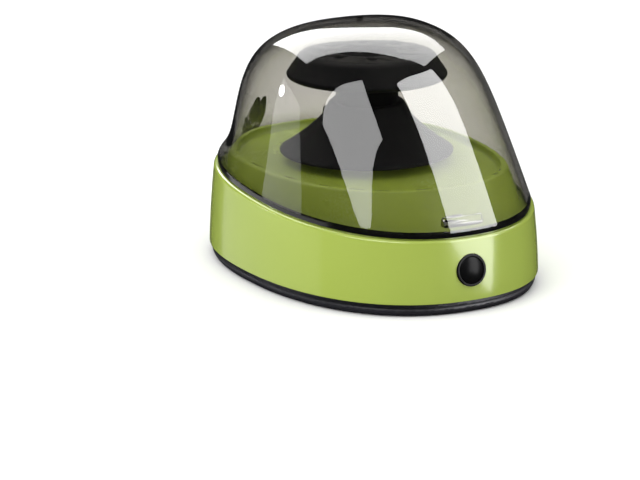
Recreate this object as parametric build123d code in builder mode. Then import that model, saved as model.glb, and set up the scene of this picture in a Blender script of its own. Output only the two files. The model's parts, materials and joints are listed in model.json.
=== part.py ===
from build123d import *
import os
from math import copysign, cos, exp, pi, radians, sin, sqrt

# Mini centrifuge, in millimetres. Front towards -Y, back towards +Y, up along +Z.
# The origin is the middle of the footprint on the bench.
os.makedirs("parts", exist_ok=True)

# Outline of the whole instrument, an egg that is a little wider at the back
half_length = 118.7
half_width = 89.1
squareness = 2.276
egg = 0.035
outline_points = 48

# Base tray and feet
foot_height = 1.6
foot_radius = 8.0
foot_recess = 0.8
tray_rim_height = 4.6
tray_floor = 2.5
tray_taper = 1.5
tray_step = 1.3
recess_line = 4.4
tray_hollow = 6.8
lip_rise = 3.0
foot_x = half_width - 42.5
foot_y = half_length - 52.5

# Body shell
body_bottom = 8.0
body_top = 52.6
seam_slope = 0.068
body_crown = 3.0
body_wall = 2.6
shoulder_radius = 2.4
flange_thickness = 2.4
flange_reach = 22.8
post_radius = 4.2
post_inset = 12.6

# Chamber moulding: flange, raised deck and shallow bowl
chamber_flange = 2.0
chamber_pocket = 1.5
chamber_edge_inset = 6.1
chamber_base_inset = 12.2
chamber_base_width_inset = 10.3
chamber_wall = 2.6
rim_height = body_top + 16.0
rim_reach = half_length - 22.5
rim_shift = 6.2
rim_width = half_width - 12.6
rim_lip = 4.0
rim_radius = 2.2
bowl_depth = 4.5
bowl_corner = 3.0
collar_radius = 17.5
collar_bore = 14.6
collar_rise = 2.6

# Lid: clear dome on its seal
seal_gap = 1.0
seal_height = 2.6
seal_width = 2.6
lid_inset = 5.1
lid_wall = 2.6
lid_apex = body_top + 98.5
lid_apex_shift = 8.9
lid_levels = [0.0, 0.03, 0.07, 0.12, 0.18, 0.26, 0.36, 0.47, 0.59, 0.70, 0.79, 0.86, 0.915, 0.955, 0.98, 0.994]
front_shape = (0.229, 1.047, 2.926)
back_shape = (0.038, 4.110, 1.710)
side_shape = (0.276, 6.887, 2.501)
back_flare = 19.6
back_flare_fade = 0.123
vent_radius = 2.2
vent_place = 19.5
catch_width = 26.0
catch_face = half_length - 13.9
catch_low = 1.2
catch_step = 5.0
catch_high = 12.2
catch_lip = 0.9

# Hinge
hinge_y = half_length - 6.7
hinge_z = body_top + seam_slope * hinge_y + 8.8
hinge_x = 31.5
knuckle_radius = 4.0
arm_width = 8.0
arm_rib = 2.0
arm_root = hinge_y - 24.0
arm_top = hinge_z + 21.0
cheek_thickness = 2.0
cheek_gap = 0.3
pin_radius = 1.5
fit_gap = 0.02
running_gap = 0.05
bracket_base = 2.0
hinge_seat = hinge_z - 9.0
hinge_back = half_length - 1.3
bracket_front = hinge_y - 0.7
hinge_screw_y = hinge_y + 2.6
hinge_boss_depth = 16.0

# Push button at the front
button_y = 1.7 - half_length
button_z = body_bottom + 0.402 * (body_top - body_bottom)
button_tilt = 9.0
cap_radius = 8.0
cap_front = 3.4
cap_bulge = 2.0
cap_depth = 6.0
cap_edge = 0.3
cap_flat = 0.4
stem_radius = 2.4
cap_gap = 0.25
bezel_wall = 0.9
bezel_rim = 0.5
bezel_front = 1.5
button_travel = 1.6
boss_depth = 3.2
boss_radius = 13.0
nut_size = 11.6
nut_depth = 3.0
barrel_depth = 13.0
switch_length = 10.0

# Motor and its mount
rotor_y = 9.2
can_radius = 16.5
can_bottom = 12.0
can_top = rim_height - 24.6
can_wall = 1.0
core_radius = can_radius - 5.0
neck_rise = 3.0
shaft_radius = 2.0
shaft_bottom = can_bottom - 3.0
shaft_top = rim_height + 13.4
bush_radius = shaft_radius + 1.0
neck_radius = bush_radius + 3.0
plate_thickness = 2.0
plate_ear = 7.0
post_circle = 29.0
grommet_flange = 2.5
motor_post_radius = 4.5

# Rotors, all on one axis
tube_rotor_bottom = rim_height + 1.0
tube_rotor_radius = 53.0
tube_rotor_top = tube_rotor_bottom + 31.2
shoulder = 23.0
crater_radius = 17.8
tube_bore = 5.5
tube_count = 6
tube_mouth = 13.0
tube_depth = 30.5
hub_radius = 10.0
hub_flange = 12.0
hub_bottom = tube_rotor_bottom - 12.6
grip_height = tube_rotor_bottom + 4.4
hub_top = tube_rotor_bottom + 8.4
spindle_radius = 4.0
stud_radius = 3.0
spindle_top = tube_rotor_top + 8.7
small_rotor_radius = 49.0
small_rotor_bottom = tube_rotor_top + 15.0
small_rotor_rim = small_rotor_bottom + 3.0
small_rotor_top = small_rotor_bottom + 16.0
small_rotor_flat = 36.5
skirt_radius = 19.0
skirt_wall = 2.0
small_bore = 3.2
small_count = 8
small_mouth = 27.0
small_depth = 13.5
dish_radius = 18.5
dish_depth = 4.0
knob_well = 9.5
knob_floor = small_rotor_bottom + 4.2
stud_top = knob_floor + 4.0

# Electronics at the back
board_width = 52.0
board_back = half_length - 11.7
board_front = board_back - 37.0
board_bottom = 12.0
board_thickness = 1.6
jack_z = 19.6
jack_width = 10.0
jack_length = 14.0
socket_radius = 2.9
wire_radius = 0.9


def outline(reach, width, slope=0.0, shift=0.0, front=None):
    """Points of the egg-shaped outline, on a plane that climbs by slope towards the back."""
    front = reach if front is None else front
    points = []
    for step in range(outline_points):
        angle = 2 * pi * step / outline_points
        c = copysign(abs(cos(angle)) ** (2 / squareness), cos(angle))
        s = copysign(abs(sin(angle)) ** (2 / squareness), sin(angle))
        along = s * (reach if s > 0 else front)
        across = c * width * (1 + egg * along / half_length)
        points.append((across, (along + shift) * sqrt(1 + slope**2)))
    return points


def tilted(height, slope=0.0):
    """A plane through the axis at a height, climbing by slope towards the back."""
    return Plane(origin=(0, 0, height), x_dir=(1, 0, 0), z_dir=(0, -slope, 1))


def section(height, slope, *sizes, **places):
    """One flat egg-shaped face."""
    with BuildSketch(tilted(height, slope)) as face:
        with BuildLine():
            Spline(*outline(*sizes, slope=slope, **places), periodic=True)
        make_face()
    return face.sketch


def inset_section(height, slope, inset, **places):
    """The instrument's outline drawn in by an inset."""
    return section(height, slope, half_length - inset, half_width - inset, **places)


def body_sections(inset, low, high):
    """Sections of the body between two heights, drawn in towards the top by its crown."""
    sections = []
    for part in (0.0, 0.35, 0.7, 1.0):
        height = low + (high - low) * part
        sections.append(inset_section(height, seam_slope * part, inset + body_crown * part**1.5))
    return sections


def dome_factor(level, shape):
    """How far a wall of the dome still reaches at a level between 0, its edge, and 1, its apex."""
    lean, start, roundness = shape
    return (1 - lean * level) * (1 - level**start) ** (1 / roundness)


def dome_sections(inset, low, apex):
    """Sections of the dome, tilted like the seam at its edge and level at its apex."""
    sections = []
    for level in lid_levels:
        flare = back_flare * exp(-((level / back_flare_fade) ** 1.5))
        back = (half_length - inset - back_flare + flare) * dome_factor(level, back_shape)
        front = (half_length - inset) * dome_factor(level, front_shape)
        width = (half_width - inset) * dome_factor(level, side_shape)
        height = low + (apex - low) * level
        slope = seam_slope * (1 - level)
        sections.append(section(height, slope, back, width, shift=lid_apex_shift * level, front=front))
    return sections


def on_outline(inset, degrees_round):
    """A place on the outline drawn in by an inset."""
    c = abs(cos(radians(degrees_round))) ** (2 / squareness)
    s = abs(sin(radians(degrees_round))) ** (2 / squareness)
    return ((half_width - inset) * c, (half_length - inset) * s)


def corners(x, y):
    """The four places that mirror one place across both middle lines."""
    return [(x, y), (-x, y), (x, -y), (-x, -y)]


def screw(head_radius, head_height, shank_radius, shank_length, flip=False):
    """A screw standing on the origin: the head's seat at zero, its shank below, or above if flipped."""
    with BuildPart() as body:
        up = -1 if flip else 1
        with Locations((0, 0, up * head_height / 2)):
            Cylinder(head_radius, head_height)
        with Locations((0, 0, -up * shank_length / 2)):
            Cylinder(shank_radius, shank_length)
        with Locations((0, 0, up * (head_height - head_height * 0.3))):
            Box(head_radius * 1.3, head_radius * 0.3, head_height * 0.6 + 0.01, mode=Mode.SUBTRACT)
            Box(head_radius * 0.3, head_radius * 1.3, head_height * 0.6 + 0.01, mode=Mode.SUBTRACT)
    return body.part


def button_plane(out):
    """A plane across the button's axis, at a distance outwards from the bezel's seat."""
    tilt = radians(button_tilt)
    origin = (0, button_y - out * cos(tilt), button_z + out * sin(tilt))
    return Plane(origin=origin, x_dir=(1, 0, 0), z_dir=(0, -cos(tilt), sin(tilt)))


def button_place(across, out, rise=0.0):
    """A place beside the button's axis, in the instrument's frame."""
    return tuple(button_plane(out).from_local_coords(Vector(across, rise, 0)))


seal_low = body_top + seal_gap
lid_low = seal_low + seal_height * sqrt(1 + seam_slope**2)
pocket_floor = body_top - chamber_pocket
flange_under = pocket_floor - flange_thickness
post_x, post_y = on_outline(post_inset, 45)
post_places = corners(post_x, post_y)
chamber_screw_x, chamber_screw_y = on_outline(19.0, 32)
chamber_screw_places = corners(chamber_screw_x, chamber_screw_y)
foot_places = corners(foot_x, foot_y)
barrel_radius = cap_radius + cap_gap + bezel_wall
board_top = board_bottom + board_thickness
board_post_places = [(x, y) for x in (-22.0, 22.0) for y in (board_front + 4.0, board_back - 4.0)]
bowl_floor = rim_height - bowl_depth
deck_under = bowl_floor - chamber_wall
tray_bottom = foot_height - foot_recess
tray_top = tray_bottom + tray_floor

# Base tray
with BuildPart() as base_tray:
    loft(
        [
            inset_section(tray_bottom, 0, tray_step + tray_taper),
            inset_section((tray_bottom + tray_rim_height) / 2, 0, tray_step + tray_taper * 0.35),
            inset_section(tray_rim_height, 0, tray_step),
        ]
    )
    extrude(inset_section(tray_rim_height, 0, recess_line), amount=body_bottom - tray_rim_height)
    extrude(inset_section(body_bottom, 0, body_wall + 0.5), amount=lip_rise)
    extrude(
        inset_section(tray_top, 0, tray_hollow),
        amount=body_bottom + lip_rise,
        mode=Mode.SUBTRACT,
    )
    with Locations(*[(x, y, tray_top) for x, y in post_places]):
        Cylinder(5.6, body_bottom - tray_top, align=(Align.CENTER, Align.CENTER, Align.MIN))
    with Locations(*[(x, y, tray_bottom) for x, y in post_places]):
        Cylinder(1.9, 10, align=(Align.CENTER, Align.CENTER, Align.MIN), mode=Mode.SUBTRACT)
        Cylinder(3.7, 2.5, align=(Align.CENTER, Align.CENTER, Align.MIN), mode=Mode.SUBTRACT)
    with Locations(*[(x, y, tray_bottom) for x, y in foot_places]):
        Cylinder(foot_radius + 0.1, foot_recess, align=(Align.CENTER, Align.CENTER, Align.MIN), mode=Mode.SUBTRACT)
    with Locations((0, rotor_y, tray_top)):
        with PolarLocations(post_circle, 3, start_angle=90):
            Cylinder(
                motor_post_radius,
                can_top - grommet_flange - tray_top,
                align=(Align.CENTER, Align.CENTER, Align.MIN),
            )
    with Locations((0, rotor_y, can_top)):
        with PolarLocations(post_circle, 3, start_angle=90):
            Cylinder(1.55, 30, mode=Mode.SUBTRACT)
    with Locations(*[(x, y, tray_top) for x, y in board_post_places]):
        Cylinder(3.0, board_bottom - tray_top, align=(Align.CENTER, Align.CENTER, Align.MIN))
    with Locations(*[(x, y, board_bottom) for x, y in board_post_places]):
        Cylinder(1.35, 12, mode=Mode.SUBTRACT)
    for side in (-1, 1):
        with Locations((side * 52, rotor_y, tray_bottom)):
            with GridLocations(6, 1, 6, 1):
                Box(2.4, 30, 10, mode=Mode.SUBTRACT)
base_tray.part.label = "base_tray"
export_step(base_tray.part, "parts/base_tray.step")

# Rubber feet
with BuildPart() as rubber_feet:
    with Locations(*[(x, y, 0) for x, y in foot_places]):
        Cylinder(foot_radius, foot_height, align=(Align.CENTER, Align.CENTER, Align.MIN))
    chamfer(rubber_feet.edges().group_by(Axis.Z)[0], 0.5)
rubber_feet.part.label = "rubber_feet"
export_step(rubber_feet.part, "parts/rubber_feet.step")

# Base screws, driven up from below
with BuildPart() as base_screws:
    with Locations(*[(x, y, tray_bottom + 2.5) for x, y in post_places]):
        add(screw(3.4, 2.1, 1.6, 14.0, flip=True))
base_screws.part.label = "base_screws"
export_step(base_screws.part, "parts/base_screws.step")

# Body shell
with BuildPart() as body_shell:
    loft(body_sections(0, body_bottom, body_top))
    fillet(body_shell.faces().sort_by(Axis.Z)[-1].edges(), shoulder_radius)
    for side in (-1, 1):
        with BuildSketch(Plane.YZ.offset(side * hinge_x - 7)):
            with BuildLine():
                Polyline(
                    (hinge_back - 11.4, hinge_seat - hinge_boss_depth),
                    (hinge_back - 5.4, hinge_seat - hinge_boss_depth),
                    (hinge_back, hinge_seat - hinge_boss_depth / 2),
                    (hinge_back, hinge_seat),
                    (hinge_back - 11.4, hinge_seat),
                    close=True,
                )
            make_face()
        extrude(amount=14)
    loft(body_sections(body_wall, body_bottom, flange_under), mode=Mode.SUBTRACT)
    extrude(
        inset_section(pocket_floor, seam_slope, chamber_edge_inset - 0.3),
        amount=chamber_pocket + 4,
        mode=Mode.SUBTRACT,
    )
    extrude(
        inset_section(flange_under - 8, seam_slope, flange_reach),
        amount=20,
        mode=Mode.SUBTRACT,
    )
    for x, y in post_places:
        with Locations((x, y, body_bottom)):
            height = flange_under + seam_slope * y + flange_thickness / 2 - body_bottom
            Cylinder(post_radius, height, align=(Align.CENTER, Align.CENTER, Align.MIN))
            Cylinder(1.65, 14, align=(Align.CENTER, Align.CENTER, Align.MIN), mode=Mode.SUBTRACT)
    for x, y in chamber_screw_places:
        with Locations((x, y, pocket_floor + seam_slope * y)):
            Cylinder(1.8, 12, mode=Mode.SUBTRACT)
    with BuildSketch(button_plane(-boss_depth)):
        Circle(boss_radius)
    extrude(amount=boss_depth - 1)
    with BuildSketch(button_plane(-boss_depth)):
        Circle(boss_radius + 1)
    extrude(amount=-6, mode=Mode.SUBTRACT)
    with BuildSketch(button_plane(0)):
        Circle(barrel_radius + bezel_rim + 0.15)
    extrude(amount=10, mode=Mode.SUBTRACT)
    with BuildSketch(button_plane(-boss_depth - 2)):
        Circle(barrel_radius + 0.05)
    extrude(amount=10, mode=Mode.SUBTRACT)
    with BuildSketch(Plane.XZ.offset(-half_length + 10)):
        with Locations((0, jack_z)):
            Circle(jack_width / 2 + 0.2)
    extrude(amount=-20, mode=Mode.SUBTRACT)
    with Locations(*[(side * hinge_x, hinge_screw_y, hinge_seat) for side in (-1, 1)]):
        Cylinder(1.25, 20, mode=Mode.SUBTRACT)
body_shell.part.label = "body_shell"
export_step(body_shell.part, "parts/body_shell.step")

# Chamber moulding
with BuildPart() as chamber_bowl:
    base_reach = half_length - chamber_base_inset
    base_width = half_width - chamber_base_width_inset
    loft(
        [
            section(pocket_floor, seam_slope, base_reach, base_width),
            section((pocket_floor + rim_height) / 2, seam_slope / 2, (base_reach + rim_reach) / 2 + 1.2,
                    (base_width + rim_width) / 2 + 0.4, shift=rim_shift / 2),
            section(rim_height, 0, rim_reach, rim_width, shift=rim_shift),
        ]
    )
    fillet(chamber_bowl.faces().sort_by(Axis.Z)[-1].edges(), rim_radius)
    extrude(
        section(bowl_floor, 0, rim_reach - rim_lip, rim_width - rim_lip, shift=rim_shift),
        amount=10,
        mode=Mode.SUBTRACT,
    )
    floor_edges = chamber_bowl.edges().filter_by_position(Axis.Z, bowl_floor - 0.1, bowl_floor + 0.1)
    fillet(floor_edges, bowl_corner)
    extrude(inset_section(pocket_floor, seam_slope, chamber_edge_inset), amount=chamber_flange)
    loft(
        [
            section(pocket_floor - 0.5, seam_slope, base_reach - chamber_wall, base_width - chamber_wall),
            section(deck_under, 0, rim_reach + 0.8, rim_width - chamber_wall + 0.6, shift=rim_shift - 1.0),
        ],
        mode=Mode.SUBTRACT,
    )
    with Locations((0, rotor_y, deck_under)):
        Cylinder(
            collar_radius, bowl_floor + collar_rise - deck_under, align=(Align.CENTER, Align.CENTER, Align.MIN)
        )
        Cylinder(collar_bore, 30, mode=Mode.SUBTRACT)
    for x, y in chamber_screw_places:
        seat = pocket_floor + seam_slope * y
        with Locations((x, y, seat + 0.4)):
            Cylinder(3.4, deck_under + 0.5 - seat - 0.4, align=(Align.CENTER, Align.CENTER, Align.MIN))
            Cylinder(1.25, 7, align=(Align.CENTER, Align.CENTER, Align.MIN), mode=Mode.SUBTRACT)
chamber_bowl.part.label = "chamber_bowl"
export_step(chamber_bowl.part, "parts/chamber_bowl.step")

# Screws that hold the chamber moulding down from inside the body
with BuildPart() as chamber_screws:
    for x, y in chamber_screw_places:
        seat = flange_under + seam_slope * (y - copysign(3.2, y) * copysign(1, y))
        with Locations((x, y, seat - 0.3)):
            add(screw(3.0, 1.8, 1.2, 7.5, flip=True))
chamber_screws.part.label = "chamber_screws"
export_step(chamber_screws.part, "parts/chamber_screws.step")

# Lid seal, a soft band under the dome's edge
with BuildPart() as lid_seal:
    extrude(inset_section(seal_low, seam_slope, lid_inset), amount=seal_height)
    extrude(inset_section(seal_low, seam_slope, lid_inset + seal_width), amount=seal_height, mode=Mode.SUBTRACT)
lid_seal.part.label = "lid_seal"
export_step(lid_seal.part, "parts/lid_seal.step")

# Hollow of the dome, less the catch block moulded on its front wall
catch_edge = lid_low - seam_slope * catch_face
with BuildPart() as lid_hollow:
    loft(dome_sections(lid_inset + lid_wall, lid_low - 1.0, lid_apex - lid_wall))
    with BuildSketch(Plane.YZ.offset(-catch_width / 2)):
        with BuildLine():
            Polyline(
                (-half_length, catch_edge + catch_low),
                (catch_lip - catch_face, catch_edge + catch_low),
                (catch_lip - catch_face, catch_edge + catch_step),
                (-catch_face, catch_edge + catch_step + catch_lip),
                (-catch_face, catch_edge + catch_high + 3),
                (-half_length, catch_edge + catch_high + 3),
                close=True,
            )
        make_face()
    extrude(amount=catch_width, mode=Mode.SUBTRACT)

# Clear dome with its two hinge arms, each a pair of ribs
with BuildPart() as lid_dome:
    loft(dome_sections(lid_inset, lid_low, lid_apex))
    for side in (-1, 1):
        for rib in (side * hinge_x - arm_width / 2, side * hinge_x + arm_width / 2 - arm_rib):
            with BuildSketch(Plane.YZ.offset(rib)):
                with BuildLine():
                    Polyline(
                        (arm_root, lid_low + seam_slope * arm_root + 1.5),
                        (hinge_y, hinge_z - knuckle_radius),
                        (hinge_y + knuckle_radius * 0.8, hinge_z + knuckle_radius * 0.6),
                        (hinge_y - 19.0, arm_top),
                        (arm_root, arm_top),
                        close=True,
                    )
                make_face()
                with Locations((hinge_y, hinge_z)):
                    Circle(knuckle_radius)
            extrude(amount=arm_rib)
    add(lid_hollow.part, mode=Mode.SUBTRACT)
    with Locations((0, vent_place, lid_apex)):
        Cylinder(vent_radius, 20, mode=Mode.SUBTRACT)
    with BuildSketch(Plane.YZ.offset(-hinge_x - 10)):
        with Locations((hinge_y, hinge_z)):
            Circle(pin_radius + running_gap)
    extrude(amount=2 * hinge_x + 20, mode=Mode.SUBTRACT)
lid_dome.part.label = "lid_dome"
export_step(lid_dome.part, "parts/lid_dome.step")

# Hinge brackets, one clevis on each boss at the back
inner_cheek = arm_width / 2 + cheek_gap
with BuildPart() as hinge_brackets:
    for side in (-1, 1):
        middle = side * hinge_x
        for low in (middle - inner_cheek - cheek_thickness, middle + inner_cheek):
            with BuildSketch(Plane.YZ.offset(low)):
                with BuildLine():
                    Polyline(
                        (bracket_front, hinge_seat),
                        (hinge_back, hinge_seat),
                        (hinge_back - 0.8, hinge_z - 2),
                        (hinge_y + 3.2, hinge_z + 2.4),
                        (hinge_y, hinge_z),
                        (bracket_front, hinge_z - 3.4),
                        close=True,
                    )
                make_face()
                with Locations((hinge_y, hinge_z)):
                    Circle(knuckle_radius)
                    Circle(pin_radius + fit_gap, mode=Mode.SUBTRACT)
            extrude(amount=cheek_thickness)
        with Locations((middle, (bracket_front + hinge_back) / 2, hinge_seat + bracket_base / 2)):
            Box(2 * inner_cheek, hinge_back - bracket_front, bracket_base)
        with Locations((middle, hinge_screw_y, hinge_seat)):
            Cylinder(1.4, 20, mode=Mode.SUBTRACT)
hinge_brackets.part.label = "hinge_brackets"
export_step(hinge_brackets.part, "parts/hinge_brackets.step")

# Hinge pins
with BuildPart() as hinge_pins:
    for side in (-1, 1):
        length = 2 * (inner_cheek + cheek_thickness) + 0.6
        with BuildSketch(Plane.YZ.offset(side * hinge_x - length / 2)):
            with Locations((hinge_y, hinge_z)):
                Circle(pin_radius)
        extrude(amount=length)
    chamfer(hinge_pins.edges(), 0.25)
hinge_pins.part.label = "hinge_pins"
export_step(hinge_pins.part, "parts/hinge_pins.step")

# Hinge screws
with BuildPart() as hinge_screws:
    with Locations(*[(side * hinge_x, hinge_screw_y, hinge_seat + bracket_base) for side in (-1, 1)]):
        add(screw(2.2, 1.3, 1.2, 9.0))
hinge_screws.part.label = "hinge_screws"
export_step(hinge_screws.part, "parts/hinge_screws.step")

# Button cap: a domed face and a stem that reaches the switch
cap_sphere = (cap_radius**2 + cap_bulge**2) / (2 * cap_bulge)


def cap_face(radius):
    """The domed face's distance outwards from the bezel's seat, at a radius from the button's axis."""
    return cap_front - cap_sphere + sqrt(cap_sphere**2 - radius**2)


cap_side = Plane(origin=button_place(0, 0), x_dir=button_plane(0).z_dir, z_dir=(1, 0, 0))
with BuildPart() as button_cap:
    with BuildSketch(cap_side):
        with BuildLine():
            Polyline(
                (cap_face(cap_flat), cap_flat),
                (cap_face(cap_flat), 0),
                (-barrel_depth, 0),
                (-barrel_depth, stem_radius),
                (-cap_depth, stem_radius),
                (-cap_depth, cap_radius),
                (cap_face(cap_radius) - cap_edge, cap_radius),
                (cap_face(cap_radius - cap_edge), cap_radius - cap_edge),
            )
            ThreePointArc(
                (cap_face(cap_radius - cap_edge), cap_radius - cap_edge),
                (cap_face(cap_radius / 2), cap_radius / 2),
                (cap_face(cap_flat), cap_flat),
            )
        make_face()
    revolve(axis=Axis(button_place(0, 0), button_plane(0).z_dir))
button_cap.part.label = "button_cap"
export_step(button_cap.part, "parts/button_cap.step")

# Bezel with its threaded barrel
with BuildPart() as button_bezel:
    with BuildSketch(button_plane(0)):
        Circle(barrel_radius + bezel_rim)
        Circle(cap_radius + cap_gap, mode=Mode.SUBTRACT)
    extrude(amount=bezel_front)
    fillet(button_bezel.edges().filter_by(GeomType.CIRCLE).sort_by(Axis.Y)[0], 0.4)
    with BuildSketch(button_plane(-barrel_depth)):
        Circle(barrel_radius)
        Circle(cap_radius + cap_gap, mode=Mode.SUBTRACT)
    extrude(amount=barrel_depth)
button_bezel.part.label = "button_bezel"
export_step(button_bezel.part, "parts/button_bezel.step")

# Nut that clamps the bezel to the body
with BuildPart() as button_nut:
    with BuildSketch(button_plane(-boss_depth - nut_depth)):
        RegularPolygon(nut_size, 6, major_radius=False)
        Circle(barrel_radius + fit_gap, mode=Mode.SUBTRACT)
    extrude(amount=nut_depth)
button_nut.part.label = "button_nut"
export_step(button_nut.part, "parts/button_nut.step")

# Return spring on the switch, drawn at its pressed length
with BuildPart() as button_spring:
    with BuildSketch(button_plane(-barrel_depth)):
        Circle(5.0)
        Circle(4.0, mode=Mode.SUBTRACT)
    extrude(amount=barrel_depth - cap_depth - button_travel - 0.4)
button_spring.part.label = "button_spring"
export_step(button_spring.part, "parts/button_spring.step")

# Switch behind the barrel
with BuildPart() as switch_body:
    with BuildSketch(button_plane(-barrel_depth - switch_length)):
        Circle(barrel_radius)
    extrude(amount=switch_length)
    with BuildSketch(button_plane(-barrel_depth - 3)):
        Circle(stem_radius + 0.5)
    extrude(amount=3, mode=Mode.SUBTRACT)
switch_body.part.label = "switch_body"
export_step(switch_body.part, "parts/switch_body.step")

# Switch terminals
with BuildPart() as switch_terminals:
    with BuildSketch(button_plane(-barrel_depth - switch_length)):
        with Locations((-4, 0), (4, 0)):
            Rectangle(0.8, 2.8)
    extrude(amount=-5)
switch_terminals.part.label = "switch_terminals"
export_step(switch_terminals.part, "parts/switch_terminals.step")

# Motor can
with BuildPart() as motor_can:
    with Locations((0, rotor_y, can_bottom)):
        Cylinder(can_radius, can_top - can_bottom, align=(Align.CENTER, Align.CENTER, Align.MIN))
        Cylinder(
            can_radius - can_wall,
            can_top - can_wall - can_bottom,
            align=(Align.CENTER, Align.CENTER, Align.MIN),
            mode=Mode.SUBTRACT,
        )
    with Locations((0, rotor_y, can_top - can_wall)):
        Cylinder(neck_radius, neck_rise + can_wall, align=(Align.CENTER, Align.CENTER, Align.MIN))
        Cylinder(bush_radius + fit_gap, 20, mode=Mode.SUBTRACT)
    with Locations((0, rotor_y, can_top)):
        with PolarLocations(10, 2):
            Cylinder(1.25, 6, mode=Mode.SUBTRACT)
motor_can.part.label = "motor_can"
export_step(motor_can.part, "parts/motor_can.step")

# Motor end cap with two terminal blades
with BuildPart() as motor_end_cap:
    with Locations((0, rotor_y, can_bottom - 2.5)):
        Cylinder(can_radius, 2.5, align=(Align.CENTER, Align.CENTER, Align.MIN))
        Cylinder(can_radius - can_wall - 0.1, 3.5, align=(Align.CENTER, Align.CENTER, Align.MIN))
        Cylinder(bush_radius + fit_gap, 10, mode=Mode.SUBTRACT)
    with Locations(*[(x, rotor_y + 9, can_bottom - 4) for x in (-7, 7)]):
        Box(0.8, 4, 3)
motor_end_cap.part.label = "motor_end_cap"
export_step(motor_end_cap.part, "parts/motor_end_cap.step")

# Bronze bushes that carry the shaft
with BuildPart() as motor_bushes:
    with Locations((0, rotor_y, can_bottom - 2.5), (0, rotor_y, can_top - can_wall)):
        Cylinder(bush_radius, 3.5, align=(Align.CENTER, Align.CENTER, Align.MIN))
        Cylinder(shaft_radius + running_gap, 20, mode=Mode.SUBTRACT)
motor_bushes.part.label = "motor_bushes"
export_step(motor_bushes.part, "parts/motor_bushes.step")

# Two field magnets inside the can
with BuildPart() as motor_magnets:
    with BuildSketch(Plane.XY.offset(can_bottom + 5)):
        with Locations((0, rotor_y)):
            Circle(can_radius - can_wall - fit_gap)
            Circle(core_radius + 0.7, mode=Mode.SUBTRACT)
            Rectangle(10, 40, mode=Mode.SUBTRACT)
    extrude(amount=can_top - can_bottom - 11)
motor_magnets.part.label = "motor_magnets"
export_step(motor_magnets.part, "parts/motor_magnets.step")

# Armature core with its winding slots
with BuildPart() as motor_armature:
    with BuildSketch(Plane.XY.offset(can_bottom + 7)):
        with Locations((0, rotor_y)):
            Circle(core_radius)
            Circle(shaft_radius + fit_gap, mode=Mode.SUBTRACT)
            with PolarLocations(core_radius - 2.1, 5):
                Rectangle(6, 2.2, mode=Mode.SUBTRACT)
    extrude(amount=can_top - can_bottom - 15)
motor_armature.part.label = "motor_armature"
export_step(motor_armature.part, "parts/motor_armature.step")

# Commutator
with BuildPart() as motor_commutator:
    with BuildSketch(Plane.XY.offset(can_bottom + 2)):
        with Locations((0, rotor_y)):
            Circle(shaft_radius + 2.4)
            Circle(shaft_radius + fit_gap, mode=Mode.SUBTRACT)
    extrude(amount=5)
motor_commutator.part.label = "motor_commutator"
export_step(motor_commutator.part, "parts/motor_commutator.step")

# Motor shaft
with BuildPart() as motor_shaft:
    with Locations((0, rotor_y, shaft_bottom)):
        Cylinder(shaft_radius, shaft_top - shaft_bottom, align=(Align.CENTER, Align.CENTER, Align.MIN))
    chamfer(motor_shaft.edges(), 0.3)
motor_shaft.part.label = "motor_shaft"
export_step(motor_shaft.part, "parts/motor_shaft.step")

# Motor plate on three rubber grommets
plate_top = can_top + plate_thickness
with BuildPart() as motor_plate:
    with BuildSketch(Plane.XY.offset(can_top)):
        with Locations((0, rotor_y)):
            with PolarLocations(post_circle, 3, start_angle=90):
                Circle(plate_ear)
        make_hull()
        with Locations((0, rotor_y)):
            Circle(neck_radius + 0.2, mode=Mode.SUBTRACT)
            with PolarLocations(post_circle, 3, start_angle=90):
                Circle(3.1, mode=Mode.SUBTRACT)
            with PolarLocations(10, 2):
                Circle(1.4, mode=Mode.SUBTRACT)
    extrude(amount=plate_thickness)
motor_plate.part.label = "motor_plate"
export_step(motor_plate.part, "parts/motor_plate.step")

with BuildPart() as one_grommet:
    Cylinder(5.4, grommet_flange, align=(Align.CENTER, Align.CENTER, Align.MAX))
    Cylinder(3.0, plate_thickness, align=(Align.CENTER, Align.CENTER, Align.MIN))
    with Locations((0, 0, plate_thickness)):
        Cylinder(5.4, grommet_flange, align=(Align.CENTER, Align.CENTER, Align.MIN))
    Cylinder(1.8, 30, mode=Mode.SUBTRACT)

# Grommets
with BuildPart() as plate_grommets:
    with Locations((0, rotor_y, can_top)):
        with PolarLocations(post_circle, 3, start_angle=90):
            add(one_grommet.part)
plate_grommets.part.label = "plate_grommets"
export_step(plate_grommets.part, "parts/plate_grommets.step")

# Screws down through the grommets into the tray's posts
with BuildPart() as plate_screws:
    with Locations((0, rotor_y, plate_top + grommet_flange)):
        with PolarLocations(post_circle, 3, start_angle=90):
            add(screw(3.6, 2.2, 1.5, 18.0))
plate_screws.part.label = "plate_screws"
export_step(plate_screws.part, "parts/plate_screws.step")

# Screws that hold the motor under its plate
with BuildPart() as motor_screws:
    with Locations((0, rotor_y, plate_top)):
        with PolarLocations(10, 2):
            add(screw(2.3, 1.5, 1.2, 3.8))
motor_screws.part.label = "motor_screws"
export_step(motor_screws.part, "parts/motor_screws.step")

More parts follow.
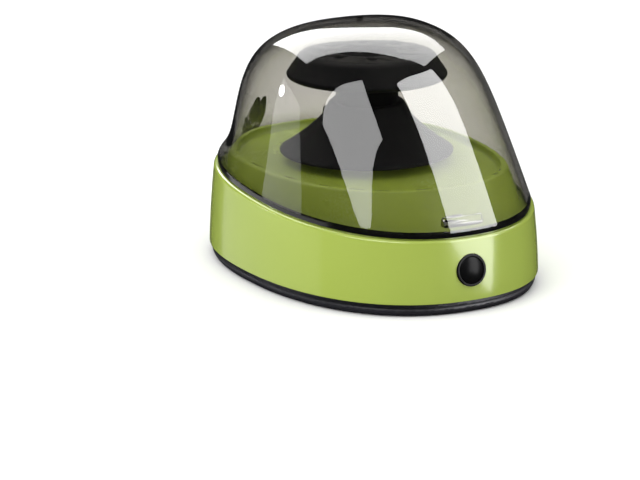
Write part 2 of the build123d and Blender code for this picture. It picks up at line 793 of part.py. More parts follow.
# Drive hub: flange, seat for the rotor, spindle and threaded stud
with BuildPart() as drive_hub:
    with BuildSketch(Plane.XZ.offset(-rotor_y)):
        with BuildLine():
            Polyline(
                (shaft_radius + fit_gap, hub_bottom),
                (hub_radius - 1, hub_bottom),
                (hub_radius - 1, hub_bottom + 5),
                (hub_flange, hub_bottom + 6.5),
                (hub_flange, tube_rotor_bottom),
                (hub_radius, tube_rotor_bottom),
                (hub_radius, grip_height - 1),
                (hub_radius - 1.8, grip_height - 1),
                (hub_radius - 1.8, grip_height + 1),
                (hub_radius, grip_height + 1),
                (hub_radius, hub_top - 0.2),
                (spindle_radius, hub_top - 0.2),
                (spindle_radius, spindle_top),
                (stud_radius, spindle_top),
                (stud_radius, stud_top),
                (0, stud_top),
                (0, shaft_top + 0.5),
                (shaft_radius + fit_gap, shaft_top + 0.5),
                close=True,
            )
        make_face()
    revolve(axis=Axis((0, rotor_y, 0), (0, 0, 1)))
    with BuildSketch(Plane.XZ.offset(-rotor_y)):
        with Locations((0, hub_bottom + 2.5)):
            Circle(1.5 + fit_gap)
    extrude(amount=12, mode=Mode.SUBTRACT)
drive_hub.part.label = "drive_hub"
export_step(drive_hub.part, "parts/drive_hub.step")

# Grub screw that locks the hub to the shaft
with BuildPart() as hub_screw:
    with BuildSketch(Plane.XZ.offset(shaft_radius + 0.05 - rotor_y)):
        with Locations((0, hub_bottom + 2.5)):
            Circle(1.5)
    extrude(amount=6.5)
hub_screw.part.label = "hub_screw"
export_step(hub_screw.part, "parts/hub_screw.step")

# Grip ring in the hub's groove
with BuildPart() as grip_ring:
    with Locations((0, rotor_y, grip_height)):
        Torus(hub_radius - 0.95, 0.85)
grip_ring.part.label = "grip_ring"
export_step(grip_ring.part, "parts/grip_ring.step")

# Rotor for six tubes, each pocket at 45 degrees
with BuildPart() as tube_rotor:
    with BuildSketch(Plane.XZ.offset(-rotor_y)):
        with BuildLine():
            Polyline(
                (shoulder + 5.2, tube_rotor_top - 10.1),
                (shoulder, tube_rotor_top - 0.8),
                (shoulder - 0.8, tube_rotor_top),
                (crater_radius, tube_rotor_top),
                (crater_radius - 9.6, tube_rotor_top - 9.6),
                (6.6, tube_rotor_top - 9.6),
                (6.6, tube_rotor_top - 0.4),
                (spindle_radius + running_gap, tube_rotor_top - 0.4),
                (spindle_radius + running_gap, hub_top),
                (hub_radius + running_gap, hub_top),
                (hub_radius + running_gap, tube_rotor_bottom),
                (tube_rotor_radius - 0.6, tube_rotor_bottom),
                (tube_rotor_radius, tube_rotor_bottom + 0.6),
                (tube_rotor_radius, tube_rotor_bottom + 1.4),
            )
            Spline(
                (tube_rotor_radius, tube_rotor_bottom + 1.4),
                (shoulder + 0.52 * (tube_rotor_radius - shoulder), tube_rotor_top - 19.7),
                (shoulder + 5.2, tube_rotor_top - 10.1),
            )
        make_face()
    revolve(axis=Axis((0, rotor_y, 0), (0, 0, 1)))
    for step in range(tube_count):
        turn = 2 * pi * step / tube_count
        mouth = (
            tube_mouth * sin(turn),
            rotor_y - tube_mouth * cos(turn),
            tube_rotor_top - crater_radius + tube_mouth,
        )
        down = (sin(turn), -cos(turn), -1)
        with BuildSketch(Plane(origin=mouth, z_dir=down)):
            Circle(tube_bore)
        extrude(amount=tube_depth, mode=Mode.SUBTRACT)
        with BuildSketch(Plane(origin=mouth, z_dir=down)):
            Circle(tube_bore)
        extrude(amount=-6, mode=Mode.SUBTRACT)
tube_rotor.part.label = "tube_rotor"
export_step(tube_rotor.part, "parts/tube_rotor.step")

# Hat-shaped rotor for eight small tubes, standing on the first rotor by its skirt
with BuildPart() as small_tube_rotor:
    with BuildSketch(Plane.XZ.offset(-rotor_y)):
        with BuildLine():
            Polyline(
                (small_rotor_radius - 3.2, small_rotor_bottom),
                (skirt_radius, small_rotor_bottom),
                (skirt_radius, tube_rotor_top),
                (skirt_radius - skirt_wall, tube_rotor_top),
                (skirt_radius - skirt_wall, spindle_top - 1),
                (spindle_radius + running_gap, spindle_top - 1),
                (spindle_radius + running_gap, spindle_top + 0.3),
                (stud_radius + running_gap, spindle_top + 0.3),
                (stud_radius + running_gap, knob_floor),
                (knob_well, knob_floor),
                (knob_well, small_rotor_top - dish_depth),
                (dish_radius - 1, small_rotor_top - dish_depth),
                (dish_radius, small_rotor_top - dish_depth + 1),
                (dish_radius, small_rotor_top - 0.6),
                (dish_radius + 0.6, small_rotor_top),
                (small_rotor_flat, small_rotor_top),
            )
            ThreePointArc(
                (small_rotor_flat, small_rotor_top),
                (small_rotor_flat + 4.0, small_rotor_top - 1.2),
                (small_rotor_flat + 6.2, small_rotor_top - 3.9),
            )
            Line(
                (small_rotor_flat + 6.2, small_rotor_top - 3.9),
                (small_rotor_radius - 1.0, small_rotor_rim + 1.2),
            )
            ThreePointArc(
                (small_rotor_radius - 1.0, small_rotor_rim + 1.2),
                (small_rotor_radius - 0.35, small_rotor_rim - 1.2),
                (small_rotor_radius - 3.2, small_rotor_bottom),
            )
        make_face()
    revolve(axis=Axis((0, rotor_y, 0), (0, 0, 1)))
    with Locations((0, rotor_y, small_rotor_top - small_depth)):
        with PolarLocations(small_mouth, small_count, start_angle=180 / small_count):
            Cylinder(small_bore, small_depth + 1, align=(Align.CENTER, Align.CENTER, Align.MIN), mode=Mode.SUBTRACT)
small_tube_rotor.part.label = "small_tube_rotor"
export_step(small_tube_rotor.part, "parts/small_tube_rotor.step")

# Knob that screws down on the stud and holds both rotors
with BuildPart() as rotor_knob:
    with Locations((0, rotor_y, knob_floor)):
        Cylinder(knob_well - 0.8, 6.5, align=(Align.CENTER, Align.CENTER, Align.MIN))
        Cylinder(stud_radius + fit_gap, stud_top - knob_floor + 0.3, align=(Align.CENTER, Align.CENTER, Align.MIN),
                 mode=Mode.SUBTRACT)
    chamfer(rotor_knob.edges().group_by(Axis.Z)[-1], 0.8)
    with Locations((0, rotor_y, knob_floor)):
        with PolarLocations(knob_well - 0.8, 12):
            Cylinder(0.7, 6.5, align=(Align.CENTER, Align.CENTER, Align.MIN), mode=Mode.SUBTRACT)
rotor_knob.part.label = "rotor_knob"
export_step(rotor_knob.part, "parts/rotor_knob.step")

# Circuit board on the tray's four short posts
with BuildPart() as circuit_board:
    with BuildSketch(Plane.XY.offset(board_bottom)):
        with Locations((0, (board_front + board_back) / 2)):
            Rectangle(board_width, board_back - board_front)
        with Locations(*board_post_places):
            Circle(1.5, mode=Mode.SUBTRACT)
    extrude(amount=board_thickness)
circuit_board.part.label = "circuit_board"
export_step(circuit_board.part, "parts/circuit_board.step")

# Parts on the board: two capacitors, a power transistor, a controller and two connectors
stand = (Align.CENTER, Align.CENTER, Align.MIN)
with BuildPart() as board_parts:
    with Locations((-15, board_front + 22, board_top), (-15, board_front + 12, board_top)):
        Cylinder(4.0, 11, align=stand)
    with Locations((15, board_front + 22, board_top)):
        Box(10, 4.5, 15, align=stand)
    with Locations((2, board_front + 14, board_top)):
        Box(8, 6, 1.8, align=stand)
    with Locations((0, board_front + 3.5, board_top)):
        Box(18, 7, 6, align=stand)
    with Locations((15, board_front + 12, board_top)):
        Box(7, 6, 6, align=stand)
board_parts.part.label = "board_parts"
export_step(board_parts.part, "parts/board_parts.step")

# Board screws
with BuildPart() as board_screws:
    with Locations(*[(x, y, board_top) for x, y in board_post_places]):
        add(screw(2.6, 1.8, 1.3, 6.5))
board_screws.part.label = "board_screws"
export_step(board_screws.part, "parts/board_screws.step")

# Power inlet standing on the board, its socket facing out at the back
jack_back = half_length - body_wall - 0.7
with BuildPart() as power_jack:
    with Locations((0, jack_back - jack_length / 2, board_top)):
        Box(jack_width, jack_length, 2 * (jack_z - board_top), align=stand)
    with BuildSketch(Plane.XZ.offset(-jack_back)):
        with Locations((0, jack_z)):
            Circle(jack_width / 2 - 0.1)
    extrude(amount=-2.6)
    with BuildSketch(Plane.XZ.offset(-jack_back - 2.6)):
        with Locations((0, jack_z)):
            Circle(socket_radius)
    extrude(amount=10, mode=Mode.SUBTRACT)
power_jack.part.label = "power_jack"
export_step(power_jack.part, "parts/power_jack.step")

# Centre pin of the inlet
with BuildPart() as jack_pin:
    with BuildSketch(Plane.XZ.offset(-jack_back + 7.4)):
        with Locations((0, jack_z)):
            Circle(1.0)
    extrude(amount=-8.5)
jack_pin.part.label = "jack_pin"
export_step(jack_pin.part, "parts/jack_pin.step")


def wire(points, bends):
    """A round wire along straight runs joined by arcs."""
    with BuildPart() as body:
        with BuildLine() as path:
            FilletPolyline(*points, radius=bends)
        with BuildSketch(Plane(origin=path.line @ 0, z_dir=path.line % 0)):
            Circle(wire_radius)
        sweep(path=path.line)
    return body.part


# Wires from the motor's terminals to the board
lead_z = can_bottom - 4.2
with BuildPart() as motor_leads:
    for x in (-7, 7):
        add(
            wire(
                [
                    (x, rotor_y + 11, lead_z),
                    (x, board_front - 26, lead_z),
                    (x, board_front - 12, board_top + 3),
                    (x, board_front, board_top + 3),
                ],
                [12, 12],
            )
        )
motor_leads.part.label = "motor_leads"
export_step(motor_leads.part, "parts/motor_leads.step")

# Wires from the switch round the motor to the board
lead_start = -barrel_depth - switch_length - 5.05
with BuildPart() as switch_leads:
    for across, out in ((-4, 44), (4, 47)):
        end = 15 + (out - 45.5) * 0.8
        add(
            wire(
                [
                    button_place(across, lead_start),
                    button_place(across, lead_start - 9),
                    (out - 20, 61 - half_length, 10),
                    (out, -36, 7),
                    (out, 20, 7),
                    (out - 10, board_front - 18, 8),
                    (end, board_front - 4, board_top + 3),
                    (end, board_front + 8.95, board_top + 3),
                ],
                [4, 8, 14, 18, 12, 6],
            )
        )
switch_leads.part.label = "switch_leads"
export_step(switch_leads.part, "parts/switch_leads.step")
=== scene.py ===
import json
from math import cos, pi, radians, sin

import bpy
import numpy as np
from mathutils import Matrix, Vector
from mathutils.bvhtree import BVHTree


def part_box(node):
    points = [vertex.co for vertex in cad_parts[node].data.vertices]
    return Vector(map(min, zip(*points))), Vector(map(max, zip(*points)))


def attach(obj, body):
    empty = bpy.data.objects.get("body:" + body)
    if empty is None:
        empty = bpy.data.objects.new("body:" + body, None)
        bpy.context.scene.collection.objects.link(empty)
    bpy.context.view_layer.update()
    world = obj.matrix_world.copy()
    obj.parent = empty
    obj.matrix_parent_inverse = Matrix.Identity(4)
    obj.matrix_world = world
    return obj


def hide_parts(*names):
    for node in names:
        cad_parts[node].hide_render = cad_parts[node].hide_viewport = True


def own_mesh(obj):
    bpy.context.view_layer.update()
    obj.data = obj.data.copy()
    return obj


# Mini centrifuge in metres: front towards -Y, up along +Z, feet on z = 0
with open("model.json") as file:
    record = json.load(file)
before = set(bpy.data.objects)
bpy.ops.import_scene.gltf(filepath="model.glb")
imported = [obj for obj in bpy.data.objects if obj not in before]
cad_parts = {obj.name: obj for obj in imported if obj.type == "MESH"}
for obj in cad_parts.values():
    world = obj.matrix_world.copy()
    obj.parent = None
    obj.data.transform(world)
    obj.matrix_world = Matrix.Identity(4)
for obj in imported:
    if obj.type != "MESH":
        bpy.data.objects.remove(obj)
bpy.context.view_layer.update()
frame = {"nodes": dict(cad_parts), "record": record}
nodes = frame["nodes"]
record = frame["record"]


# Camera

def turned(right, up, place):
    """A matrix whose X is right and whose Y is near up, at a place."""
    x = Vector(right).normalized()
    z = x.cross(Vector(up)).normalized()
    y = z.cross(x)
    return Matrix.Translation(Vector(place)) @ Matrix((x, y, z)).transposed().to_4x4()


view_turn, view_rise, view_distance = radians(-27.938), radians(15.783), 1.9458
view_target = Vector((-0.0372, 0.0, 0.0197))
lens_mm, sensor_mm, farthest_seen = 180, 36, 50

to_camera = Vector((sin(view_turn) * cos(view_rise), -cos(view_turn) * cos(view_rise), sin(view_rise)))
across = Vector((cos(view_turn), sin(view_turn), 0))
camera = bpy.data.objects.new("camera", bpy.data.cameras.new("camera"))
bpy.context.collection.objects.link(camera)
camera.data.lens = lens_mm
camera.data.sensor_width = sensor_mm
camera.data.clip_end = farthest_seen
camera.matrix_world = turned(across, to_camera.cross(across), view_target + to_camera * view_distance)
bpy.context.scene.camera = camera
bpy.context.scene.view_settings.view_transform = "Standard"


# Studio lamps

def lamp(name, place, size, right, outward, brightness, shape="RECTANGLE", mirrored=True):
    """A flat lamp whose back looks outward: seen only in gloss if mirrored, and only lighting if not."""
    width, height = size
    light = bpy.data.lights.new(name, "AREA")
    light.shape = shape
    light.size = width
    light.size_y = height
    light.energy = brightness * pi * width * height
    made = bpy.data.objects.new(name, light)
    bpy.context.collection.objects.link(made)
    made.matrix_world = turned(right, Vector(outward).cross(Vector(right)), place)
    made.visible_diffuse = not mirrored
    made.visible_glossy = mirrored
    made.visible_camera = False
    made.visible_transmission = False


# Each lamp's name, place, size, right, outward and brightness of its face
softboxes = (
    ("strip_left", (-0.692, -0.466, 1.077), (1.18, 0.65), (0.807, -0.23, 0.543), (-0.467, 0.312, 0.827), 7.0),
    ("strip_right", (0.84, -0.826, 1.04), (0.90, 2.54), (0.744, 0.557, -0.369), (0.635, -0.762, 0.129), 11.0),
    ("bank_behind", (0.575, 0.549, 1.108), (1.93, 1.01), (0.82, -0.291, 0.492), (-0.263, 0.572, 0.777), 7.2),
    ("panel_left", (-1.07, 0.73, 0.25), (0.61, 0.7), (0.524, 0.852, 0), (-0.85, 0.52, 0.12), 1.6),
    ("spot_behind", (-0.933, 0.904, 0.447), (0.14, 0.14), (0.7, 0.7, 0), (-0.68, 0.68, 0.27), 34.0, "DISK"),
    ("panel_low", (-0.92, 0.77, -0.24), (1.6, 0.42), (0.64, 0.77, 0), (-0.77, 0.64, -0.1), 0.8),
)
fills = (
    ("overhead", (-0.3, 0.3, 2.4), (5.0, 5.0), (1, 0, 0), (0, 0, 1), 1.9),
    ("fill_left", (-2.3, -0.4, 0.9), (1.8, 1.8), (0.17, -1, 0), (-0.92, -0.16, 0.36), 3.0),
    ("fill_right", (1.9, -1.5, 0.9), (1.6, 1.6), (0.6, 0.8, 0), (0.74, -0.58, 0.35), 2.0),
    ("fill_front", (-0.9, -2.2, 1.1), (1.8, 1.8), (1, -0.4, 0), (-0.36, -0.85, 0.39), 0.6),
)
for row in softboxes:
    lamp(*row)
for row in fills:
    lamp(*row, mirrored=False)


# Shader maths

class Wire:
    """A node's output. Sums on it add Math nodes."""

    def __init__(self, look, socket):
        self.look, self.socket = look, socket

    def maths(self, operation, *values):
        return self.look.node("Math", {"operation": operation}, dict(enumerate(values)))

    def __add__(self, other):
        return self.maths("ADD", self, other)

    def __sub__(self, other):
        return self.maths("SUBTRACT", self, other)

    def __rsub__(self, other):
        return self.maths("SUBTRACT", other, self)

    def __mul__(self, other):
        return self.maths("MULTIPLY", self, other)

    def __pow__(self, other):
        return self.maths("POWER", self, other)

    def __rpow__(self, other):
        return self.maths("POWER", other, self)

    __radd__, __rmul__ = __add__, __mul__

    def clamped(self, low, high):
        return self.maths("MINIMUM", self.maths("MAXIMUM", self, low), high)


class Look:
    """A material, or the studio's world, under construction."""

    def __init__(self, holder, end="ShaderNodeOutputMaterial"):
        self.holder = holder
        holder.use_nodes = True
        self.tree = holder.node_tree
        self.tree.nodes.clear()
        self.end = self.tree.nodes.new(end)

    def node(self, kind, settings=None, sockets=None, out=0):
        made = self.tree.nodes.new("ShaderNode" + kind)
        for key, value in (settings or {}).items():
            setattr(made, key, value)
        for key, value in (sockets or {}).items():
            if isinstance(value, Wire):
                self.tree.links.new(value.socket, made.inputs[key])
            else:
                made.inputs[key].default_value = value
        return Wire(self, made.outputs[out])

    def place(self, scale=(1, 1, 1)):
        spot = self.node("TexCoord", out="Object")
        return self.node("Mapping", {"vector_type": "POINT"}, {"Vector": spot, "Scale": scale})

    def noise(self, scale, detail=3.0, roughness=0.55, stretch=(1, 1, 1)):
        sockets = {"Vector": self.place(stretch), "Scale": scale, "Detail": detail, "Roughness": roughness}
        return self.node("TexNoise", {"noise_dimensions": "3D"}, sockets)

    def blend(self, share, first, second):
        return self.node("Mix", {"data_type": "RGBA"}, {0: share, 6: rgb(*first), 7: rgb(*second)}, out=2)

    def bump(self, height, strength, depth):
        return self.node("Bump", None, {"Height": height, "Strength": strength, "Distance": depth})

    def unmirrored(self):
        """1 for a ray never mirrored, or mirrored over and over inside a clear wall, and 0 for any other."""
        middle_depth, slack = 1.5, 1.1
        mirrored = self.node("LightPath", out="Glossy Depth")
        passed = self.node("LightPath", out="Transmission Depth")
        inside_wall = passed.maths("COMPARE", passed, middle_depth, slack)
        return 1 - mirrored.clamped(0, 1) + (mirrored - 1).clamped(0, 1) * inside_wall

    def surface(self, shader):
        self.tree.links.new(shader.socket, self.end.inputs["Surface"])
        return self.holder


def rgb(*colour):
    return (*colour, 1)


# Studio: bright to the eye and through clear walls, and dark in reflections but for the lamps
world_bright, world_dim = 0.9, 0.02
world = bpy.data.worlds.new("studio")
bpy.context.scene.world = world
studio = Look(world, "ShaderNodeOutputWorld")
seen = studio.node("LightPath", out="Is Camera Ray") + studio.node("LightPath", out="Is Transmission Ray")
undimmed = 1 - studio.node("LightPath", out="Diffuse Depth").clamped(0, 1)
glow = seen * studio.unmirrored() * undimmed * world_bright + world_dim
studio.surface(studio.node("Background", None, {"Color": rgb(1, 1, 1), "Strength": glow}))


# Materials

micron = 0.000001


def moulded(
    name, colour, darker, roughness, spread, grain, depth, coat=0.0, specular=0.5, coat_roughness=0.05
):
    """Moulded plastic or rubber: faint colour clouds, uneven gloss and a fine grain, its depth in microns."""
    cloud_scale, mottle_scale, cloud_share, grain_strength = 22, 310, 0.7, 0.6
    look = Look(bpy.data.materials.new(name))
    cloud = look.noise(cloud_scale, detail=2)
    fine = look.noise(grain, detail=3, roughness=0.6)
    mottle = look.noise(mottle_scale, detail=4, roughness=0.6)
    share = cloud * cloud_share + mottle * (1 - cloud_share)
    sockets = {
        "Base Color": look.blend(share.clamped(0, 1), darker, colour),
        "Roughness": (fine - 0.5) * spread + (cloud - 0.5) * spread + roughness,
        "Normal": look.bump(fine, grain_strength, depth * micron),
        "Specular IOR Level": specular,
        "Coat Weight": coat,
        "Coat Roughness": coat_roughness,
    }
    return look.surface(look.node("BsdfPrincipled", None, sockets))


def metal(name, colour, roughness, stretch, scale, depth):
    """Turned, drawn or plated metal: streaks along the way it was worked, their depth in microns."""
    stain_scale, darkened, streak_strength, streak_spread, stain_spread = 60, 0.72, 0.35, 0.25, 0.12
    look = Look(bpy.data.materials.new(name))
    streak = look.noise(scale, detail=4, roughness=0.6, stretch=stretch)
    stain = look.noise(stain_scale, detail=3)
    share = streak * 0.5 + stain * 0.5
    sockets = {
        "Base Color": look.blend(share.clamped(0, 1), [c * darkened for c in colour], colour),
        "Metallic": 1.0,
        "Roughness": (streak - 0.5) * streak_spread + (stain - 0.5) * stain_spread + roughness,
        "Normal": look.bump(streak, streak_strength, depth * micron),
    }
    return look.surface(look.node("BsdfPrincipled", None, sockets))


def clear_plastic(name, tint, edge_tint, film):
    """Clear moulded plastic: real refraction, a deeper tint at a slant, and a film's tint for lamplight."""
    ripple_scale, ripple_strength, ripple_depth = 28, 0.05, 300 * micron
    dust_scale, dust_spread, polish = 60, 0.012, 0.004
    refraction, slant_power = 1.49, 3.0
    look = Look(bpy.data.materials.new(name))
    ripple = look.noise(ripple_scale, detail=2, roughness=0.4)
    dust = look.noise(dust_scale, detail=3, roughness=0.5)
    slant = look.node("LayerWeight", None, {"Blend": 0.5}, out="Facing")
    sockets = {
        "Base Color": look.blend(slant**slant_power, tint, edge_tint),
        "Transmission Weight": 1.0,
        "IOR": refraction,
        "Roughness": dust * dust_spread + polish,
        "Normal": look.bump(ripple, ripple_strength, ripple_depth),
    }
    glass = look.node("BsdfPrincipled", None, sockets)
    through = look.node("BsdfTransparent", None, {"Color": rgb(*film)})
    lamp_ray = look.node("LightPath", out="Is Shadow Ray")
    return look.surface(look.node("MixShader", None, {0: lamp_ray, 1: glass, 2: through}))


# Each plastic's colour, darker clouds, roughness and its spread, grains per metre, their depth, and gloss
shell_gloss = {"coat": 0.35, "specular": 0.3, "coat_roughness": 0.09}
plastics = {
    "green_gloss": ((0.345, 0.435, 0.078), (0.320, 0.405, 0.070), 0.20, 0.05, 1400, 4, shell_gloss),
    "green_chamber": ((0.300, 0.390, 0.055), (0.278, 0.362, 0.049), 0.26, 0.08, 1100, 8, {"coat": 0.25}),
    "charcoal": ((0.020, 0.019, 0.025), (0.014, 0.014, 0.018), 0.48, 0.15, 2600, 30, {"specular": 0.3}),
    "black_gloss": ((0.004, 0.004, 0.0045), (0.003, 0.003, 0.003), 0.12, 0.04, 1500, 4, {"coat": 0.3}),
    "button_black": ((0.004, 0.004, 0.0045), (0.003, 0.003, 0.003), 0.30, 0.06, 1500, 4, {"specular": 0.06}),
    "black_satin": ((0.005, 0.005, 0.006), (0.003, 0.003, 0.004), 0.34, 0.10, 1900, 12, {"specular": 0.2}),
    "black_matte": ((0.022, 0.022, 0.024), (0.015, 0.015, 0.016), 0.45, 0.12, 2200, 20, {}),
    "seal_black": ((0.003, 0.003, 0.003), (0.002, 0.002, 0.002), 0.16, 0.06, 1600, 10, {"coat": 0.3}),
    "foot_black": ((0.020, 0.020, 0.020), (0.012, 0.012, 0.012), 0.75, 0.15, 1500, 60, {}),
    "board_green": ((0.015, 0.130, 0.050), (0.010, 0.095, 0.036), 0.35, 0.10, 900, 20, {"coat": 0.3}),
    "wire_red": ((0.38, 0.018, 0.015), (0.28, 0.012, 0.010), 0.42, 0.10, 1500, 20, {}),
    "ferrite": ((0.060, 0.060, 0.064), (0.045, 0.045, 0.048), 0.6, 0.12, 1800, 40, {}),
}
# Each metal's colour, roughness, stretch of its streaks, streaks per metre and their depth
evenly, drawn, finely_drawn, spun = (1, 1, 1), (1, 1, 0.1), (1, 1, 0.06), (0.06, 0.06, 1)
metals = {
    "zinc": ((0.62, 0.62, 0.60), 0.30, evenly, 700, 10),
    "steel": ((0.56, 0.56, 0.57), 0.24, finely_drawn, 1500, 6),
    "turned_aluminium": ((0.74, 0.74, 0.75), 0.26, spun, 2400, 8),
    "bronze": ((0.50, 0.31, 0.14), 0.42, evenly, 1500, 20),
    "brass": ((0.72, 0.50, 0.20), 0.25, drawn, 1500, 6),
    "copper": ((0.62, 0.23, 0.10), 0.32, drawn, 1800, 10),
}
looks = {name: moulded(name, *row, **gloss) for name, (*row, gloss) in plastics.items()}
smoke, deep_smoke, smoke_film = (0.66, 0.645, 0.61), (0.09, 0.075, 0.05), (0.93, 0.925, 0.91)
looks["smoky_clear"] = clear_plastic("smoky_clear", smoke, deep_smoke, smoke_film)
looks.update((name, metal(name, *row)) for name, row in metals.items())

held_by = {
    "green_gloss": "body_shell",
    "green_chamber": "chamber_bowl",
    "smoky_clear": "lid_dome",
    "charcoal": "base_tray",
    "black_gloss": "rotor_knob",
    "button_black": "button_cap button_bezel",
    "black_satin": "tube_rotor small_tube_rotor",
    "black_matte": "hinge_brackets button_nut switch_body motor_end_cap board_parts power_jack",
    "seal_black": "lid_seal",
    "foot_black": "rubber_feet plate_grommets grip_ring",
    "board_green": "circuit_board",
    "wire_red": "motor_leads switch_leads",
    "zinc": "base_screws chamber_screws hinge_screws motor_plate plate_screws motor_screws board_screws",
    "steel": "hinge_pins button_spring motor_can motor_shaft hub_screw",
    "turned_aluminium": "drive_hub",
    "bronze": "motor_bushes",
    "brass": "switch_terminals motor_commutator jack_pin",
    "copper": "motor_armature",
    "ferrite": "motor_magnets",
}
look_of = {node: looks[name] for name, held in held_by.items() for node in held.split()}
body_of = {node: body for body, held in record["behaviour"]["bodies"].items() for node in held}
for node, thing in nodes.items():
    thing.data.materials.clear()
    thing.data.materials.append(look_of[node])


# Rules of the body's and the dome's shapes

half_length, half_width, squareness, egg = 0.1187, 0.0891, 2.276, 0.035
seam_slope = 0.068
wall_low, wall_height, crown_depth, crown_power = 0.008, 0.0446, 0.003, 1.5
dome_low, dome_apex, dome_shift = 0.056206, 0.1511, 0.0089
dome_inset, dome_thickness, dome_edge_step = 0.0051, 0.0026, 0.001
flare_depth, flare_height, flare_power = 0.0196, 0.123, 1.5
back_profile = (0.038, 4.110, 1.710)
front_profile = (0.229, 1.047, 2.926)
side_profile = (0.276, 6.887, 2.501)


def outline(angle, back, front, width):
    """The egg-shaped outline: places across and along."""
    c, s = np.cos(angle), np.sin(angle)
    c = np.sign(c) * np.abs(c) ** (2 / squareness)
    s = np.sign(s) * np.abs(s) ** (2 / squareness)
    along = s * np.where(s > 0, back, front)
    return c * width * (1 + egg * along / half_length), along


def body_wall(level, angle):
    """The body's side from its lower edge, level 0, to its top edge, level 1."""
    crown = crown_depth * np.abs(level) ** crown_power * np.sign(level)
    x, y = outline(angle, half_length - crown, half_length - crown, half_width - crown)
    return np.stack([x, y, wall_low + wall_height * level + seam_slope * level * y], -1)


def dome_wall(level, angle, inset, low, apex):
    """The dome from its edge, level 0, to its apex, level 1."""
    held = np.clip(level, 0, 1)

    def reach(lean, start, roundness):
        return (1 - lean * held) * (1 - held**start) ** (1 / roundness)

    flare = flare_depth * np.exp(-((held / flare_height) ** flare_power))
    back = (half_length - inset - flare_depth + flare) * reach(*back_profile)
    front = (half_length - inset) * reach(*front_profile)
    width = (half_width - inset) * reach(*side_profile)
    x, y = outline(angle, back, front, width)
    y = y + dome_shift * level
    return np.stack([x, y, low + (apex - low) * level + seam_slope * (1 - level) * y], -1)


def dome_outside(level, angle):
    return dome_wall(level, angle, dome_inset, dome_low, dome_apex)


def dome_inside(level, angle):
    return dome_wall(
        level, angle, dome_inset + dome_thickness, dome_low - dome_edge_step, dome_apex - dome_thickness
    )


# Smooth skins: merged copies of the mouldings, with the soft shading of those rules

def guide(rule, levels, sign=1):
    """A fine mesh of a rule's surface, kept to read its slopes: points, slopes, faces and search tree."""
    spokes, step, tiny = 360, 1e-4, 1e-12
    angles = np.linspace(0, 2 * pi, spokes + 1)[:-1]
    grid_level, grid_angle = np.meshgrid(levels, angles, indexing="ij")
    points = rule(grid_level, grid_angle)
    along = rule(grid_level + step / 2, grid_angle) - rule(grid_level - step / 2, grid_angle)
    around = rule(grid_level, grid_angle + step) - rule(grid_level, grid_angle - step)
    slopes = np.cross(around, along) * sign
    slopes /= np.linalg.norm(slopes, axis=-1, keepdims=True) + tiny
    rows, columns = grid_level.shape
    spot = np.arange(rows * columns).reshape(rows, columns)
    after = np.roll(spot, -1, 1)
    faces = np.stack([spot[:-1], after[:-1], after[1:], spot[1:]], -1).reshape(-1, 4)
    points = points.reshape(-1, 3)
    tree = BVHTree.FromPolygons([Vector(p) for p in points], [tuple(map(int, f)) for f in faces])
    return points, slopes.reshape(-1, 3), faces, tree


def guided_slope(spot, facing, guides):
    """The slope of the first guide that lies at a spot and faces the same way, if one does."""
    reach, tiny, same_way = 0.0002, 1e-7, 0.9
    for points, slopes, faces, tree in guides:
        found = tree.find_nearest(spot, reach)[2]
        if found is None:
            continue
        corners = faces[found]
        nearness = 1 / (np.linalg.norm(points[corners] - np.array(spot), axis=1) + tiny)
        slope = (slopes[corners] * nearness[:, None]).sum(0)
        slope /= np.linalg.norm(slope)
        if slope @ np.array(facing) > same_way:
            return slope
    return None


def shade_by(mesh, guides):
    """Give the corners of a mesh the slopes of the guides that they lie on."""
    mesh.update()
    slopes = [tuple(normal.vector) for normal in mesh.corner_normals]
    for polygon in mesh.polygons:
        for corner in polygon.loop_indices:
            spot = mesh.vertices[mesh.loops[corner].vertex_index].co
            slope = guided_slope(spot, polygon.normal, guides)
            if slope is not None:
                slopes[corner] = tuple(slope)
    mesh.normals_split_custom_set(slopes)


def baked(thing):
    """A thing's mesh with its modifiers worked in and taken off it."""
    bpy.context.view_layer.update()
    mesh = bpy.data.meshes.new_from_object(thing.evaluated_get(bpy.context.evaluated_depsgraph_get()))
    thing.modifiers.clear()
    thing.data = mesh
    mesh.shade_smooth()
    return mesh


def stand_in(made, node):
    """Let a made piece stand in for a CAD node: the node is hidden and the piece moves with the node's body.
    """
    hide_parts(node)
    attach(made, body_of[node])


def skin(node, guides=()):
    """A merged copy of a CAD node, smooth but at its edges, shaded by the guides where it lies on them."""
    merge_distance, edge_angle = 0.000002, radians(30)
    made = bpy.data.objects.new(node + "_skin", nodes[node].data.copy())
    bpy.context.collection.objects.link(made)
    made.modifiers.new("weld", "WELD").merge_threshold = merge_distance
    mesh = baked(made)
    mesh.set_sharp_from_angle(angle=edge_angle)
    if guides:
        shade_by(mesh, guides)
    mesh.materials.clear()
    mesh.materials.append(look_of[node])
    stand_in(made, node)


# The dome's levels lie closer together towards its apex, and the body's stop short of its rounded top edge
wall_levels, crown_levels = np.linspace(0, 0.9, 120), 1 - np.geomspace(0.1, 0.0005, 60)
dome_levels = np.concatenate([wall_levels, crown_levels])
body_levels = np.linspace(0, 0.97, 60)
skin("lid_dome", [guide(dome_outside, dome_levels), guide(dome_inside, dome_levels, -1)])
skin("body_shell", [guide(body_wall, body_levels)])
for node in "chamber_bowl lid_seal base_tray tube_rotor small_tube_rotor button_cap button_bezel".split():
    skin(node)
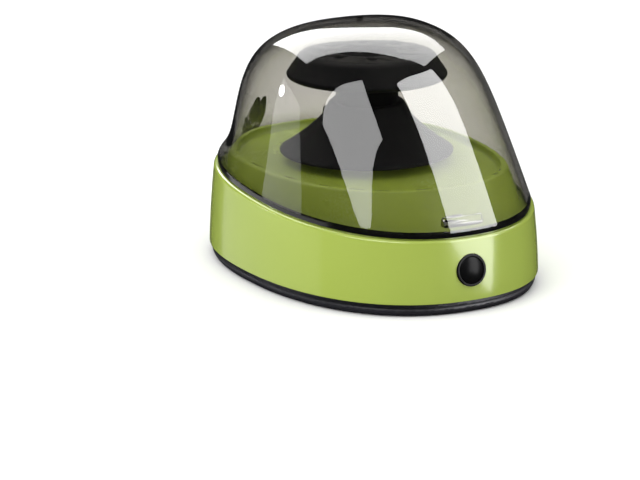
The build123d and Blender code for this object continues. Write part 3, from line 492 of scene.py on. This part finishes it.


# Return spring behind the button: a wound wire, made at its free length

def coil_tree(material):
    """A tree that winds a round wire up the Z axis. Its sizes are named inputs."""
    steps_a_turn, wire_sides = 40, 12
    tree = bpy.data.node_groups.new("wound_coil", "GeometryNodeTree")
    tree.interface.new_socket("Geometry", in_out="OUTPUT", socket_type="NodeSocketGeometry")
    for label in ("Turns", "Coil Radius", "Height", "Wire Radius"):
        tree.interface.new_socket(label, in_out="INPUT", socket_type="NodeSocketFloat")
    sizes, end = tree.nodes.new("NodeGroupInput"), tree.nodes.new("NodeGroupOutput")
    helix = tree.nodes.new("GeometryNodeCurveSpiral")
    helix.inputs["Resolution"].default_value = steps_a_turn
    ring = tree.nodes.new("GeometryNodeCurvePrimitiveCircle")
    ring.inputs["Resolution"].default_value = wire_sides
    sweep = tree.nodes.new("GeometryNodeCurveToMesh")
    sweep.inputs["Fill Caps"].default_value = True
    solid = tree.nodes.new("GeometryNodeRealizeInstances")
    finish = tree.nodes.new("GeometryNodeSetMaterial")
    finish.inputs["Material"].default_value = material
    for source, output, target, socket in (
        (sizes, "Turns", helix, "Rotations"),
        (sizes, "Coil Radius", helix, "Start Radius"),
        (sizes, "Coil Radius", helix, "End Radius"),
        (sizes, "Height", helix, "Height"),
        (sizes, "Wire Radius", ring, "Radius"),
        (helix, "Curve", sweep, "Curve"),
        (ring, "Curve", sweep, "Profile Curve"),
        (sweep, "Mesh", solid, "Geometry"),
        (solid, "Geometry", finish, "Geometry"),
        (finish, "Geometry", end, "Geometry"),
    ):
        tree.links.new(source.outputs[output], target.inputs[socket])
    return tree


def wound_coil(name, sizes, material):
    """A coil standing on the origin, as a plain mesh."""
    tree = coil_tree(material)
    made = bpy.data.objects.new(name, bpy.data.meshes.new(name))
    bpy.context.collection.objects.link(made)
    winder = made.modifiers.new("winder", "NODES")
    winder.node_group = tree
    for item in tree.interface.items_tree:
        if item.in_out == "INPUT":
            winder[item.identifier] = sizes[item.name]
    baked(made)
    return made


press = next(joint for joint in record["behaviour"]["joints"] if joint["name"] == "button_press")
outward = -Vector(press["axis"])
travel = press["range_m"][1]
sleeve_length, free_length, wire_radius = 0.005, 0.00695, 0.00035
low, high = (Vector(corner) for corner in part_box("button_spring"))
spring_seat = (low + high) / 2 - outward * sleeve_length / 2
spring_sizes = {
    "Turns": 5.5,
    "Coil Radius": 0.0045,
    "Height": free_length - 2 * wire_radius,
    "Wire Radius": wire_radius,
}
spring = wound_coil("return_spring", spring_sizes, looks["steel"])
sideways = Vector((1, 0, 0))
spring.data.transform(turned(sideways, outward.cross(sideways), spring_seat + outward * wire_radius))
stand_in(spring, "button_spring")
(free_length - travel) / free_length
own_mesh(spring)


# Floor: pale paper that lamps light and no gloss mirrors

floor_reach, paper_white, paper_roughness = 6, 0.93, 0.9
corners = [(x * floor_reach, y * floor_reach, 0) for x, y in ((-1, -1), (1, -1), (1, 1), (-1, 1))]
floor = bpy.data.objects.new("floor", bpy.data.meshes.new("floor"))
bpy.context.collection.objects.link(floor)
floor.data.from_pydata(corners, [], [(0, 1, 2, 3)])
floor.visible_glossy = False
paper = Look(bpy.data.materials.new("paper"))
pale = paper.blend(paper.unmirrored(), (0, 0, 0), [paper_white] * 3)
paper_sockets = {"Base Color": pale, "Roughness": paper_roughness, "Specular IOR Level": 0}
floor.data.materials.append(paper.surface(paper.node("BsdfPrincipled", None, paper_sockets)))
